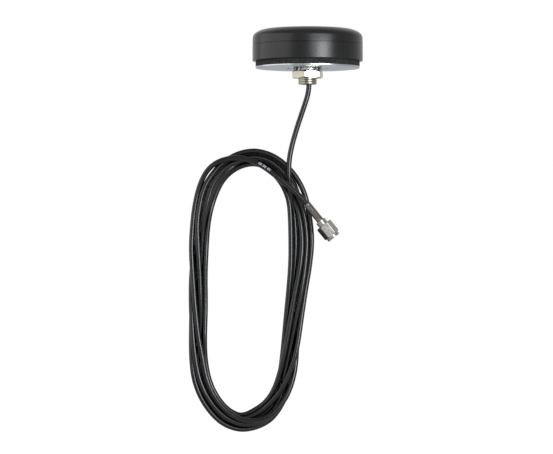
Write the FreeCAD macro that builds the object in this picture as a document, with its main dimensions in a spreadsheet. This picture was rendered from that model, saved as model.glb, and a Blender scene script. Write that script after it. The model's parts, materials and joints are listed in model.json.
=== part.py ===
import FreeCAD, Part
import math
import os
import types

import Sketcher
from FreeCAD import Placement, Rotation, Vector

# Panel antenna: a round cover on a gasket and a plate, a hollow threaded stud with its lock washer
# and nut, and a thin coaxial lead, wound in a hanging coil, that ends in a small screw-on plug.
# Millimetres. The origin is the centre of the plate's underside, where a panel would touch it.
# +Z points up through the cover, the stud points down, and +X is to the right from the front.

DRIVING_SIZES = (
    # cover
    ("cover_rad", 29.25, "outside of the cover"),
    ("cover_height", 16.75, "rim to top"),
    ("cover_wall", 2.0, "wall and roof of the cover"),
    ("shoulder_width", 3.65, "slope at the upper corner, measured inwards"),
    ("shoulder_drop", 3.2, "slope at the upper corner, measured down"),
    ("crown_round", 9.0, "round where the slope meets the roof"),
    ("shoulder_round", 2.8, "round where the slope meets the wall"),
    ("rim_round", 0.6, "round on the lower outer edge"),
    ("rim_gap", 0.15, "space between the gasket and the cover's rim"),
    ("seam_drop", 8.5, "parting line of the mould, below the top"),
    ("seam_width", 0.5, "parting line, up and down"),
    ("seam_depth", 0.12, "parting line, into the wall"),
    ("boss_rad", 2.6, "screw bosses under the roof"),
    ("boss_inset", 7.45, "axes of the screw bosses, inside the cover's outside"),
    ("boss_turn", 45.0, "degrees from +X to the first boss"),
    ("boss_count", 4, "screw bosses"),
    # closing floor
    ("floor_thick", 2.4, "moulded floor that closes the cover"),
    ("floor_gap", 0.1, "floor inside the cover's wall"),
    ("hub_rad", 9.5, "spacer hub between the floor and the plate"),
    ("post_rad", 2.4, "posts under the circuit board"),
    ("post_height", 3.5, "posts above the floor"),
    ("post_inset", 12.75, "axes of the posts, inside the cover's outside"),
    ("post_turn", 90.0, "degrees from +X to the first post"),
    ("post_count", 3, "posts and board screws"),
    ("key_rib_width", 1.5, "ribs that key the stud's flange"),
    ("key_rib_length", 11.0, "ribs that key the stud's flange"),
    ("key_rib_height", 1.2, "ribs that key the stud's flange"),
    # plate and gasket
    ("plate_inset", 1.65, "plate and gasket, inside the cover's outside"),
    ("plate_thick", 0.9, "bright base plate"),
    ("plate_round", 0.25, "lower edge of the plate"),
    ("groove_rad", 10.5, "middle of the ring groove round the stud"),
    ("groove_width", 1.1, "ring groove"),
    ("groove_depth", 0.4, "ring groove"),
    ("land_relief", 0.1, "how far the washer's land stands back from the panel face"),
    ("gasket_thick", 2.8, "foam rubber gasket"),
    ("gasket_bore_rad", 15.0, "foam rubber gasket"),
    ("gasket_round", 0.3, "edges of the gasket"),
    # stud, lock washer and nut
    ("stud_rad", 5.0, "thread crest of the stud"),
    ("thread_rad", 4.675, "pitch radius, where the nut's turns and the stud's meet"),
    ("stud_length", 8.6, "plate's underside to the stud's end"),
    ("stud_lead", 0.5, "chamfer on the stud's end"),
    ("stud_bore_rad", 2.6, "cable way through the stud"),
    ("flange_rad", 9.0, "flange of the stud, inside the cover"),
    ("flange_thick", 1.6, "flange of the stud"),
    ("flange_flat", 7.0, "flats of the flange, from the axis"),
    ("washer_space", 1.5, "plate's underside to the nut"),
    ("washer_thick", 0.7, "sheet of the lock washer"),
    ("washer_ring_rad", 6.3, "outside of the washer's plain ring"),
    ("tooth_tip_rad", 7.4, "tips of the washer's teeth"),
    ("tooth_width", 1.75, "one tooth"),
    ("tooth_count", 14, "teeth of the lock washer"),
    ("nut_wall", 2.825, "nut's wall at its flats, outside its thread"),
    ("nut_height", 3.8, "mounting nut"),
    ("nut_chamfer", 0.12, "round faces of the nut, inside its flats"),
    ("nut_mouth", 0.5, "countersink of the nut's thread"),
    ("nut_turn", 18.0, "degrees from +X to the nut's first corner"),
    ("corner_cone", 30.0, "degrees of the cone that turns a hexagon's corners off"),
    ("slip_gap", 0.05, "clearance of the pieces that only sit in each other"),
    # circuit board and radiating element
    ("board_inset", 2.05, "circuit board, inside the cover's wall"),
    ("board_thick", 1.6, "circuit board"),
    ("board_gap", 0.4, "board's notches round the bosses"),
    ("element_inset", 7.2, "radiating plate, inside the board's edge"),
    ("element_thick", 0.4, "stamped sheet"),
    ("element_headroom", 1.8, "cover's roof to the underside of the radiating plate"),
    ("element_slot_inset", 8.0, "far edge and end of the two slots, inside the plate's edge"),
    ("element_slot_width", 2.0, "slots"),
    ("element_bridge", 3.0, "sheet left between the ends of the slots"),
    ("leg_width", 3.2, "legs of the radiating plate"),
    # small screws
    ("screw_rad", 1.0, "shank of the screws"),
    ("screw_head_rad", 1.9, "head of the screws"),
    ("screw_head_height", 1.2, "head of the screws"),
    ("board_screw_length", 4.6, "under the head"),
    ("cover_screw_length", 7.0, "under the head"),
    ("screw_end_gap", 0.4, "pilot hole past the end of a screw"),
    ("screw_hole_gap", 0.15, "clearance holes round a screw"),
    # lead
    ("cable_rad", 1.4, "jacket"),
    ("core_rad", 0.75, "insulation of the core"),
    ("wire_rad", 0.25, "inner conductor"),
    ("cable_offset", 0.7, "cable in the stud, to the right of the stud's axis"),
    ("seal_length", 4.5, "rubber seal in the stud's end"),
    ("stop_rad", 3.5, "crimped ring that keeps the cable from being pulled out"),
    ("stop_height", 1.3, "crimped ring"),
    ("jacket_bare", 0.5, "stripped core below the board"),
    ("wire_bare", 0.7, "conductor above the board"),
    ("coil_half_depth", 2.8, "two layers of cable"),
    # plug, measured along its axis from the rear of the ferrule
    ("plug_x", -0.5, "rear of the ferrule"),
    ("plug_y", -7.0, "rear of the ferrule"),
    ("plug_z", -72.0, "rear of the ferrule"),
    ("plug_lean", 39.0, "degrees from straight down towards +X"),
    ("plug_roll", 12.0, "degrees that the plug's corners are turned about its axis"),
    ("ferrule_rad", 1.95, "ferrule before it is crimped"),
    ("ferrule_length", 11.3, "ferrule"),
    ("ferrule_flats", 3.4, "crimped hexagon across its flats"),
    ("ferrule_ends", 1.1, "uncrimped round at each end"),
    ("ferrule_bore_gap", 0.04, "bore of the ferrule round the jacket"),
    ("jacket_end", 5.4, "where the jacket stops inside the ferrule"),
    ("shell_shoulder_rad", 2.75, "shoulder in front of the ferrule"),
    ("shell_shoulder_length", 2.5, "shoulder"),
    ("shell_barrel_rad", 2.5, "barrel that the nut turns on"),
    ("shell_barrel_length", 4.0, "barrel"),
    ("shell_nose_rad", 2.3, "contact sleeve inside the nut"),
    ("shell_nose_length", 2.6, "contact sleeve"),
    ("shell_wall", 0.35, "wall of the contact sleeve"),
    ("ring_seat_depth", 0.3, "snap-ring groove in the barrel"),
    ("ring_seat_from", 2.0, "snap-ring groove, from the shoulder"),
    ("ring_thick", 0.5, "snap ring, along the axis"),
    ("ring_rad", 2.95, "outside of the snap ring"),
    ("ring_split", 50.0, "degrees of the snap ring's opening"),
    ("turn_gap", 0.1, "play between the turning nut and what it turns on"),
    ("coupling_wall", 1.0, "coupling nut's wall at its flats, outside its thread"),
    ("coupling_hex_length", 7.3, "hexagon of the coupling nut"),
    ("coupling_lip_length", 1.6, "round front lip"),
    ("coupling_lip_wall", 0.65, "wall of the lip, outside the thread"),
    ("coupling_thread_rad", 3.0, "thread of the coupling nut"),
    ("coupling_chamfer", 0.07, "round ends of the hexagon, inside its flats"),
    ("coupling_mouth", 0.3, "chamfer of the lip's mouth"),
    ("seal_ring_thick", 0.6, "silicone ring at the foot of the contact sleeve"),
    ("seal_ring_rad", 2.8, "silicone ring"),
    ("insulator_recess", 1.6, "rear of the insulator, in front of the ferrule"),
    ("pin_rad", 0.63, "rear of the contact pin"),
    ("pin_tip_rad", 0.46, "front of the contact pin"),
    ("pin_tip_length", 2.1, "pin in front of the insulator"),
    ("pin_taper", 0.5, "cone of the pin's tip"),
    ("pin_point_rad", 0.18, "flat of the pin's tip"),
    ("pin_rear", 0.8, "rear of the pin, in front of the insulator's rear"),
    ("pin_socket", 1.6, "solder bore for the inner conductor"),
)

# The lead where it isn't coiled, from the stud's end into the coil and from the coil to the plug.
# The first point of the one and the last two of the other follow the stud and the plug.
ROUTE_IN = (
    (0.7, 0.0, -13.4),
    (-0.95, -0.5, -18.8),
    (-3.4, -1.5, -25.7),
    (-5.8, -2.6, -33.0),
    (-8.2, -3.6, -40.4),
    (-9.8, -4.2, -48.0),
    (-10.1, -4.3, -56.0),
    (-9.4, -3.6, -64.0),
    (-8.8, -1.6, -71.0),
)
ROUTE_OUT = (
    (-47.6, -1.6, -50.4),
    (-41.5, -2.7, -48.0),
    (-35.3, -4.3, -47.4),
    (-29.3, -5.7, -49.0),
    (-23.1, -6.6, -52.3),
    (-17.0, -7.0, -57.0),
    (-10.4, -7.0, -62.3),
)
LAST_RUN = 4.9

# Middle line of the hanging coil, clockwise from the top, and half of the bundle's width there.
COIL_STATIONS = (
    (-29.5, -47.2, 4.8),
    (-17.9, -51.2, 5.5),
    (-9.4, -60.7, 5.8),
    (-4.1, -75.5, 6.2),
    (-3.4, -92.0, 6.5),
    (-5.7, -117.5, 5.7),
    (-9.1, -149.3, 5.1),
    (-14.4, -171.0, 4.9),
    (-24.3, -183.8, 5.3),
    (-35.0, -187.8, 5.1),
    (-47.5, -180.3, 4.9),
    (-56.1, -164.0, 4.9),
    (-58.1, -142.0, 5.0),
    (-57.8, -110.0, 5.0),
    (-56.7, -83.1, 5.2),
    (-52.5, -63.7, 5.4),
    (-43.0, -52.1, 5.1),
)

# Each bend of the lead takes this much of the shorter run beside it.
ARC_SHARE = 0.45

CIRCLE = 360.0
HALF_TURN = 180.0
TOUCH = 1e-4

doc = FreeCAD.newDocument("PanelAntenna")
sheet = doc.addObject("Spreadsheet::Sheet", "Sizes")
nodes = {}


class Size:
    """A length together with its formula, so that the sketches can be bound to it."""

    def __init__(self, value, formula):
        self.value = value
        self.formula = formula

    def __add__(self, other):
        return Size(self.value + other.value, f"{self.formula} + {other.formula}")

    def __sub__(self, other):
        return Size(self.value - other.value, f"{self.formula} - ({other.formula})")

    def __mul__(self, factor):
        return Size(self.value * factor, f"({self.formula}) * ({factor:.9f})")

    def __neg__(self):
        return self * -1.0


def fill_sheet():
    """Writes the driving sizes to the sheet and gives them back by name."""
    named = {}
    for row, (alias, value, meaning) in enumerate(DRIVING_SIZES, start=1):
        sheet.set(f"A{row}", meaning)
        sheet.set(f"B{row}", str(value))
        sheet.setAlias(f"B{row}", alias)
        named[alias] = Size(float(value), f"Sizes.{alias}")
    doc.recompute()
    return types.SimpleNamespace(**named)


ZERO = Size(0.0, "0")
d = fill_sheet()

# Radii and widths that follow others
inner_rad = d.cover_rad - d.cover_wall
floor_rad = inner_rad - d.floor_gap
plate_rad = d.cover_rad - d.plate_inset
board_rad = inner_rad - d.board_inset
element_rad = board_rad - d.element_inset
boss_ring = d.cover_rad - d.boss_inset
post_ring = d.cover_rad - d.post_inset
nut_flats = (d.thread_rad + d.nut_wall) * 2.0
coupling_flats = (d.coupling_thread_rad + d.coupling_wall) * 2.0
coupling_lip_rad = d.coupling_thread_rad + d.coupling_lip_wall

# Levels along the puck's axis
plate_top = d.plate_thick
gasket_top = plate_top + d.gasket_thick
floor_top = gasket_top + d.floor_thick
flange_top = floor_top + d.flange_thick
cover_rim = gasket_top + d.rim_gap
cover_top = cover_rim + d.cover_height
roof_under = cover_top - d.cover_wall
board_under = floor_top + d.post_height
board_top = board_under + d.board_thick
element_under = roof_under - d.element_headroom
nut_top = -d.washer_space
nut_under = nut_top - d.nut_height
stud_end = -d.stud_length
seal_top = stud_end + d.seal_length

# Levels along the plug's axis
shoulder_from = d.ferrule_length
barrel_from = shoulder_from + d.shell_shoulder_length
nose_from = barrel_from + d.shell_barrel_length
nose_end = nose_from + d.shell_nose_length
ring_from = barrel_from + d.ring_seat_from
coupling_from = barrel_from + d.turn_gap
hex_end = coupling_from + d.coupling_hex_length
lip_end = hex_end + d.coupling_lip_length
insulator_from = shoulder_from + d.insulator_recess
pin_from = insulator_from + d.pin_rear


def new_body(name):
    """A body whose label is the piece's own name."""
    body = doc.addObject("PartDesign::Body", name)
    body.Label = name
    body.AllowCompound = True
    nodes[name] = body
    return body


def origin_feature(body, role):
    """One of the body's own origin planes or axes."""
    return next(f for f in body.Origin.OriginFeatures if f.Role == role)


def sketch_on(body, plane, name, level=None):
    """An empty sketch on an origin plane of the body, lifted to a level where one is given."""
    sketch = body.newObject("Sketcher::SketchObject", name)
    sketch.AttachmentSupport = [(origin_feature(body, plane), "")]
    sketch.MapMode = "FlatFace"
    if level is not None:
        sketch.AttachmentOffset = Placement(Vector(0, 0, level.value), Rotation())
        sketch.setExpression("AttachmentOffset.Base.z", level.formula)
    return sketch


def bind(sketch, constraint, size):
    """Adds a dimension and ties it to the formula of its size."""
    index = sketch.addConstraint(constraint)
    sketch.setExpression(f"Constraints[{index}]", size.formula)


def locate(sketch, geometry, point, place):
    """Dimensions a point from the sketch's origin."""
    for kind, size in zip(("DistanceX", "DistanceY"), place):
        bind(sketch, Sketcher.Constraint(kind, -1, 1, geometry, point, size.value), size)


def add_outline(sketch, corners):
    """A closed outline of straight lines with every corner dimensioned."""
    first = sketch.GeometryCount
    count = len(corners)
    ends = [Vector(x.value, y.value, 0) for x, y in corners]
    for i in range(count):
        sketch.addGeometry(Part.LineSegment(ends[i], ends[(i + 1) % count]), False)
    for i in range(count):
        after = first + (i + 1) % count
        sketch.addConstraint(Sketcher.Constraint("Coincident", first + i, 2, after, 1))
    for i, corner in enumerate(corners):
        locate(sketch, first + i, 1, corner)


def add_circle(sketch, rad, place=(ZERO, ZERO)):
    """A circle with its radius and centre dimensioned."""
    centre = Vector(place[0].value, place[1].value, 0)
    index = sketch.addGeometry(Part.Circle(centre, Vector(0, 0, 1), rad.value), False)
    bind(sketch, Sketcher.Constraint("Radius", index, rad.value), rad)
    locate(sketch, index, 3, place)


def box_corners(low, high):
    """The four corners of an upright rectangle."""
    return [low, (high[0], low[1]), high, (low[0], high[1])]


def hexagon(flats, first_corner=0.0):
    """The six corners of a hexagon of the given width across its flats."""
    reach = flats * (1 / math.sqrt(3))
    turns = [math.radians(first_corner + 60 * i) for i in range(6)]
    return [(reach * math.cos(turn), reach * math.sin(turn)) for turn in turns]


def polar(rad, degrees):
    """A place on a circle about the axis."""
    turn = math.radians(degrees)
    return rad * math.cos(turn), rad * math.sin(turn)


def turned(body, kind, name, corners):
    """A Revolution or a Groove of an outline given as (radius, height) about the body's Z axis."""
    sketch = sketch_on(body, "XZ_Plane", f"{name}_profile")
    add_outline(sketch, corners)
    feature = body.newObject(f"PartDesign::{kind}", name)
    feature.Profile = sketch
    feature.ReferenceAxis = (sketch, ["V_Axis"])
    feature.Angle = CIRCLE
    doc.recompute()
    return feature


def extruded(body, kind, name, sketch, length, down=False):
    """A Pad or a Pocket of a finished sketch, upwards unless it is sent down."""
    feature = body.newObject(f"PartDesign::{kind}", name)
    feature.Profile = sketch
    feature.Length = length.value
    feature.setExpression("Length", length.formula)
    feature.Reversed = down if kind == "Pad" else not down
    doc.recompute()
    return feature


def repeated(body, name, originals, count):
    """Copies features evenly round the body's Z axis."""
    pattern = body.newObject("PartDesign::PolarPattern", name)
    pattern.Originals = originals
    pattern.Axis = (origin_feature(body, "Z_Axis"), [""])
    pattern.Angle = CIRCLE
    pattern.Occurrences = int(count.value)
    pattern.setExpression("Occurrences", count.formula)
    body.Tip = pattern
    doc.recompute()
    return pattern


def round_edges(feature, rad, level):
    """Names of the circular edges with this radius about the Z axis at this height."""
    found = []
    for i, edge in enumerate(feature.Shape.Edges, start=1):
        curve = edge.Curve
        if not isinstance(curve, Part.Circle):
            continue
        same_rad = abs(curve.Radius - rad.value) < TOUCH
        same_level = abs(curve.Center.z - level.value) < TOUCH
        if same_rad and same_level:
            found.append(f"Edge{i}")
    return found


def rounded(body, name, edges, rad):
    """A fillet on named edges of the body's last feature."""
    fillet = body.newObject("PartDesign::Fillet", name)
    fillet.Base = (fillet.BaseFeature, edges)
    fillet.Radius = rad.value
    fillet.setExpression("Radius", rad.formula)
    doc.recompute()
    return fillet


def plug_placement():
    """Turns a piece's own Z axis onto the plug's axis and moves it to the rear of the ferrule."""
    about_axis = Rotation(Vector(0, 0, 1), d.plug_roll.value)
    leaning = Rotation(Vector(0, 1, 0), HALF_TURN - d.plug_lean.value)
    rear = Vector(d.plug_x.value, d.plug_y.value, d.plug_z.value)
    return Placement(rear, leaning.multiply(about_axis))


def set_on_plug(body):
    """Places a piece on the plug's axis and ties its position to the sheet."""
    body.Placement = plug_placement()
    body.setExpression("Placement.Base.x", d.plug_x.formula)
    body.setExpression("Placement.Base.y", d.plug_y.formula)
    body.setExpression("Placement.Base.z", d.plug_z.formula)


# Puck

def make_cover():
    """Moulded cover: turned outside, shelled from its rim, with screw bosses under the roof."""
    body = new_body("radome_cover")
    shoulder_foot = cover_top - d.shoulder_drop
    crown_edge = d.cover_rad - d.shoulder_width
    outside = turned(
        body,
        "Revolution",
        "CoverOutside",
        [
            (ZERO, cover_rim),
            (d.cover_rad, cover_rim),
            (d.cover_rad, shoulder_foot),
            (crown_edge, cover_top),
            (ZERO, cover_top),
        ],
    )
    crown = rounded(body, "CrownRound", round_edges(outside, crown_edge, cover_top), d.crown_round)
    foot = round_edges(crown, d.cover_rad, shoulder_foot)
    shoulder = rounded(body, "ShoulderRound", foot, d.shoulder_round)
    rounded(body, "RimRound", round_edges(shoulder, d.cover_rad, cover_rim), d.rim_round)
    crown_turn = math.atan2(d.shoulder_drop.value, d.shoulder_width.value)
    crown_inset = d.cover_wall * math.tan(crown_turn / 2)
    foot_inset = d.cover_wall * math.tan((math.pi / 2 - crown_turn) / 2)
    turned(
        body,
        "Groove",
        "Hollow",
        [
            (ZERO, cover_rim),
            (inner_rad, cover_rim),
            (inner_rad, shoulder_foot - foot_inset),
            (crown_edge - crown_inset, roof_under),
            (ZERO, roof_under),
        ],
    )
    seam_low = cover_top - d.seam_drop
    seam_high = seam_low + d.seam_width
    seam_floor = d.cover_rad - d.seam_depth
    turned(
        body,
        "Groove",
        "MouldSeam",
        box_corners((seam_floor, seam_low), (d.cover_rad + d.seam_width, seam_high)),
    )
    place = polar(boss_ring, d.boss_turn.value)
    sketch = sketch_on(body, "XY_Plane", "boss_outline", floor_top)
    add_circle(sketch, d.boss_rad, place)
    boss = extruded(body, "Pad", "Boss", sketch, roof_under - floor_top + d.cover_wall * 0.5)
    screw_reach = d.cover_screw_length - (d.floor_thick - d.screw_head_height)
    sketch = sketch_on(body, "XY_Plane", "pilot_outline", floor_top)
    add_circle(sketch, d.screw_rad, place)
    pilot = extruded(body, "Pocket", "Pilot", sketch, screw_reach + d.screw_end_gap)
    repeated(body, "Bosses", [boss, pilot], d.boss_count)


def make_floor():
    """Moulded floor that closes the cover, with its hub, board posts, key ribs and screw holes."""
    body = new_body("inner_base")
    hole = d.stud_rad + d.slip_gap
    turned(
        body,
        "Revolution",
        "FloorAndHub",
        [
            (hole, plate_top),
            (d.hub_rad, plate_top),
            (d.hub_rad, gasket_top),
            (floor_rad, gasket_top),
            (floor_rad, floor_top),
            (hole, floor_top),
        ],
    )
    sketch = sketch_on(body, "XY_Plane", "key_rib_outline", floor_top)
    near = d.flange_flat + d.slip_gap
    far = near + d.key_rib_width
    reach = d.key_rib_length * 0.5
    add_outline(sketch, box_corners((-reach, near), (reach, far)))
    add_outline(sketch, box_corners((-reach, -far), (reach, -near)))
    extruded(body, "Pad", "KeyRibs", sketch, d.key_rib_height)
    place = polar(post_ring, d.post_turn.value)
    sketch = sketch_on(body, "XY_Plane", "post_outline", floor_top)
    add_circle(sketch, d.post_rad, place)
    post = extruded(body, "Pad", "Post", sketch, d.post_height)
    sketch = sketch_on(body, "XY_Plane", "post_pilot_outline", board_under)
    add_circle(sketch, d.screw_rad, place)
    deep = d.board_screw_length - d.board_thick + d.screw_end_gap
    pilot = extruded(body, "Pocket", "PostPilot", sketch, deep, down=True)
    repeated(body, "Posts", [post, pilot], d.post_count)
    place = polar(boss_ring, d.boss_turn.value)
    sketch = sketch_on(body, "XY_Plane", "screw_way_outline", gasket_top)
    add_circle(sketch, d.screw_rad + d.screw_hole_gap, place)
    way = extruded(body, "Pocket", "ScrewWay", sketch, d.floor_thick)
    sketch = sketch_on(body, "XY_Plane", "screw_seat_outline", gasket_top)
    add_circle(sketch, d.screw_head_rad + d.screw_hole_gap, place)
    seat = extruded(body, "Pocket", "ScrewSeat", sketch, d.screw_head_height)
    repeated(body, "ScrewWays", [way, seat], d.boss_count)


def make_gasket():
    """Foam rubber ring between the cover and the plate."""
    body = new_body("sealing_gasket")
    low = (d.gasket_bore_rad, plate_top)
    ring = turned(body, "Revolution", "Ring", box_corners(low, (plate_rad, gasket_top)))
    edges = round_edges(ring, plate_rad, plate_top) + round_edges(ring, plate_rad, gasket_top)
    rounded(body, "RingRound", edges, d.gasket_round)


def make_plate():
    """Bright plate with the ring groove and the washer's land round the stud's hole."""
    body = new_body("base_plate")
    hole = d.stud_rad + d.slip_gap
    half_groove = d.groove_width * 0.5
    land_rad = d.groove_rad - half_groove
    face_from = d.groove_rad + half_groove
    plate = turned(
        body,
        "Revolution",
        "Plate",
        [
            (hole, d.land_relief),
            (land_rad, d.land_relief),
            (land_rad, d.groove_depth),
            (face_from, d.groove_depth),
            (face_from, ZERO),
            (plate_rad, ZERO),
            (plate_rad, plate_top),
            (hole, plate_top),
        ],
    )
    rounded(body, "PlateRound", round_edges(plate, plate_rad, ZERO), d.plate_round)


def make_stud():
    """Hollow stud with its flange. The nut's stretch is turned to the pitch radius of the thread."""
    body = new_body("hollow_stud")
    lead_rad = d.stud_rad - d.stud_lead
    turned(
        body,
        "Revolution",
        "Shank",
        [
            (d.stud_bore_rad, flange_top),
            (d.stud_bore_rad, stud_end),
            (lead_rad, stud_end),
            (d.stud_rad, stud_end + d.stud_lead),
            (d.stud_rad, nut_under),
            (d.thread_rad, nut_under),
            (d.thread_rad, nut_top),
            (d.stud_rad, nut_top),
            (d.stud_rad, floor_top),
            (d.flange_rad, floor_top),
            (d.flange_rad, flange_top),
        ],
    )
    sketch = sketch_on(body, "XY_Plane", "flange_flats_outline", floor_top)
    past = d.flange_rad + d.flange_thick
    add_outline(sketch, box_corners((-past, d.flange_flat), (past, past)))
    add_outline(sketch, box_corners((-past, -past), (past, -d.flange_flat)))
    extruded(body, "Pocket", "FlangeFlats", sketch, d.flange_thick)


def make_washer():
    """Lock washer: a flat ring whose outer teeth are turned until they touch both seats."""
    body = new_body("lock_washer")
    gap = d.washer_space + d.land_relief - d.slip_gap
    middle = (d.land_relief - d.washer_space) * 0.5
    half_thick = d.washer_thick * 0.5
    half_width = d.tooth_width * 0.5
    low = (d.stud_rad + d.slip_gap, middle - half_thick)
    turned(body, "Revolution", "Ring", box_corners(low, (d.washer_ring_rad, middle + half_thick)))
    diagonal = math.hypot(d.tooth_width.value, d.washer_thick.value)
    lean = math.atan2(d.washer_thick.value, d.tooth_width.value)
    twist = math.asin(gap.value / diagonal) - lean
    across = (half_width * math.cos(twist), half_width * math.sin(twist))
    through = (half_thick * -math.sin(twist), half_thick * math.cos(twist))
    root = d.washer_ring_rad - d.washer_thick
    sketch = sketch_on(body, "YZ_Plane", "tooth_outline", root)
    corners = [
        (-across[0] - through[0], middle - across[1] - through[1]),
        (across[0] - through[0], middle + across[1] - through[1]),
        (across[0] + through[0], middle + across[1] + through[1]),
        (-across[0] + through[0], middle - across[1] + through[1]),
    ]
    add_outline(sketch, corners)
    tooth = extruded(body, "Pad", "Tooth", sketch, d.tooth_tip_rad - root)
    repeated(body, "Teeth", [tooth], d.tooth_count)


def trim_corners(body, name, flats, level, bevel, up):
    """Turns the corners of a hexagon off at one end, as a cone."""
    past = flats
    face_rad = flats * 0.5 - bevel
    climb = (past - face_rad) * math.tan(math.radians(d.corner_cone.value))
    if not up:
        climb = -climb
    turned(body, "Groove", name, [(face_rad, level), (past, level), (past, level + climb)])


def make_mounting_nut():
    """Hexagon nut with its corners turned off at both ends."""
    body = new_body("mounting_nut")
    sketch = sketch_on(body, "XY_Plane", "hexagon", nut_under)
    add_outline(sketch, hexagon(nut_flats, d.nut_turn.value))
    add_circle(sketch, d.thread_rad)
    extruded(body, "Pad", "Nut", sketch, d.nut_height)
    trim_corners(body, "LowerCorners", nut_flats, nut_under, d.nut_chamfer, True)
    trim_corners(body, "UpperCorners", nut_flats, nut_top, d.nut_chamfer, False)
    wide = d.thread_rad + d.nut_mouth
    for name, level, depth in (
        ("LowerMouth", nut_under, d.nut_mouth),
        ("UpperMouth", nut_top, -d.nut_mouth),
    ):
        inside = d.thread_rad - d.slip_gap
        corners = [
            (inside, level),
            (wide, level),
            (d.thread_rad, level + depth),
            (inside, level + depth),
        ]
        turned(body, "Groove", name, corners)


def make_board():
    """Round circuit board with notches for the cover's bosses."""
    body = new_body("circuit_board")
    sketch = sketch_on(body, "XY_Plane", "board_outline", board_under)
    add_circle(sketch, board_rad)
    add_circle(sketch, d.wire_rad + d.slip_gap, (d.cable_offset, ZERO))
    extruded(body, "Pad", "Board", sketch, d.board_thick)
    sketch = sketch_on(body, "XY_Plane", "notch_outline", board_under)
    add_circle(sketch, d.boss_rad + d.board_gap, polar(boss_ring, d.boss_turn.value))
    notch = extruded(body, "Pocket", "Notch", sketch, d.board_thick)
    repeated(body, "Notches", [notch], d.boss_count)
    sketch = sketch_on(body, "XY_Plane", "screw_hole_outline", board_under)
    add_circle(sketch, d.screw_rad + d.screw_hole_gap, polar(post_ring, d.post_turn.value))
    hole = extruded(body, "Pocket", "ScrewHole", sketch, d.board_thick)
    repeated(body, "ScrewHoles", [hole], d.post_count)


def make_element():
    """Stamped radiating plate on three legs that are soldered to the board."""
    body = new_body("radiating_element")
    sketch = sketch_on(body, "XY_Plane", "element_outline", element_under)
    add_circle(sketch, element_rad)
    extruded(body, "Pad", "Plate", sketch, d.element_thick)
    sketch = sketch_on(body, "XY_Plane", "slot_outline", element_under)
    half_bridge = d.element_bridge * 0.5
    far = element_rad - d.element_slot_inset
    near = far - d.element_slot_width
    add_outline(sketch, box_corners((half_bridge, near), (far, far)))
    add_outline(sketch, box_corners((-far, -far), (-half_bridge, -near)))
    extruded(body, "Pocket", "TuningSlots", sketch, d.element_thick)
    sketch = sketch_on(body, "XY_Plane", "leg_outline", board_top)
    half_leg = d.leg_width * 0.5
    rim = element_rad - d.element_thick
    add_outline(sketch, box_corners((rim - d.element_thick, -half_leg), (rim, half_leg)))
    height = element_under - board_top + d.element_thick * 0.5
    leg = extruded(body, "Pad", "Leg", sketch, height)
    repeated(body, "Legs", [leg], d.post_count)


def make_screws(name, ring, first, count, head_level, length, heads_down):
    """A set of equal screws, each a head and a shank, standing on a circle."""
    body = new_body(name)
    place = polar(ring, first)
    sketch = sketch_on(body, "XY_Plane", "head_outline", head_level)
    add_circle(sketch, d.screw_head_rad, place)
    head = extruded(body, "Pad", "Head", sketch, d.screw_head_height, down=heads_down)
    sketch = sketch_on(body, "XY_Plane", "shank_outline", head_level)
    add_circle(sketch, d.screw_rad, place)
    shank = extruded(body, "Pad", "Shank", sketch, length, down=not heads_down)
    repeated(body, "Screws", [head, shank], count)


# Ends of the lead

def make_cable_inner_end():
    """Cable through the stud, stripped in steps and soldered into the board."""
    body = new_body("cable_inner_end")
    jacket_top = board_under - d.jacket_bare
    wire_top = board_top + d.wire_bare
    turned(
        body,
        "Revolution",
        "Cable",
        [
            (ZERO, stud_end),
            (d.cable_rad, stud_end),
            (d.cable_rad, jacket_top),
            (d.core_rad, jacket_top),
            (d.core_rad, board_under),
            (d.wire_rad, board_under),
            (d.wire_rad, wire_top),
            (ZERO, wire_top),
        ],
    )
    body.setExpression("Placement.Base.x", d.cable_offset.formula)


def make_cable_seal():
    """Rubber plug that fills the stud's end round the cable."""
    body = new_body("cable_seal")
    sketch = sketch_on(body, "XY_Plane", "seal_outline", stud_end)
    add_circle(sketch, d.stud_bore_rad)
    add_circle(sketch, d.cable_rad, (d.cable_offset, ZERO))
    extruded(body, "Pad", "Seal", sketch, d.seal_length)


def make_cable_stop():
    """Ring crimped on the cable, resting on the stud's flange."""
    body = new_body("cable_stop_ring")
    low = (d.cable_rad, flange_top)
    turned(body, "Revolution", "Ring", box_corners(low, (d.stop_rad, flange_top + d.stop_height)))
    body.setExpression("Placement.Base.x", d.cable_offset.formula)


def make_cable_outer_end():
    """Cable inside the plug, stripped in steps to the contact pin."""
    body = new_body("cable_outer_end")
    wire_end = pin_from + d.pin_socket
    turned(
        body,
        "Revolution",
        "Cable",
        [
            (ZERO, ZERO),
            (d.cable_rad, ZERO),
            (d.cable_rad, d.jacket_end),
            (d.core_rad, d.jacket_end),
            (d.core_rad, insulator_from),
            (d.wire_rad, insulator_from),
            (d.wire_rad, wire_end),
            (ZERO, wire_end),
        ],
    )
    set_on_plug(body)


# Plug

def make_ferrule():
    """Ferrule over the cable and the shell's stem, crimped to a hexagon between its ends."""
    body = new_body("crimp_ferrule")
    sketch = sketch_on(body, "XY_Plane", "ferrule_outline")
    add_circle(sketch, d.ferrule_rad)
    add_circle(sketch, d.cable_rad + d.ferrule_bore_gap)
    extruded(body, "Pad", "Tube", sketch, d.ferrule_length)
    sketch = sketch_on(body, "XY_Plane", "crimp_outline", d.ferrule_ends)
    add_circle(sketch, d.ferrule_rad + d.ferrule_ends)
    add_outline(sketch, hexagon(d.ferrule_flats))
    extruded(body, "Pocket", "Crimp", sketch, d.ferrule_length - d.ferrule_ends * 2.0)
    set_on_plug(body)


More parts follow.
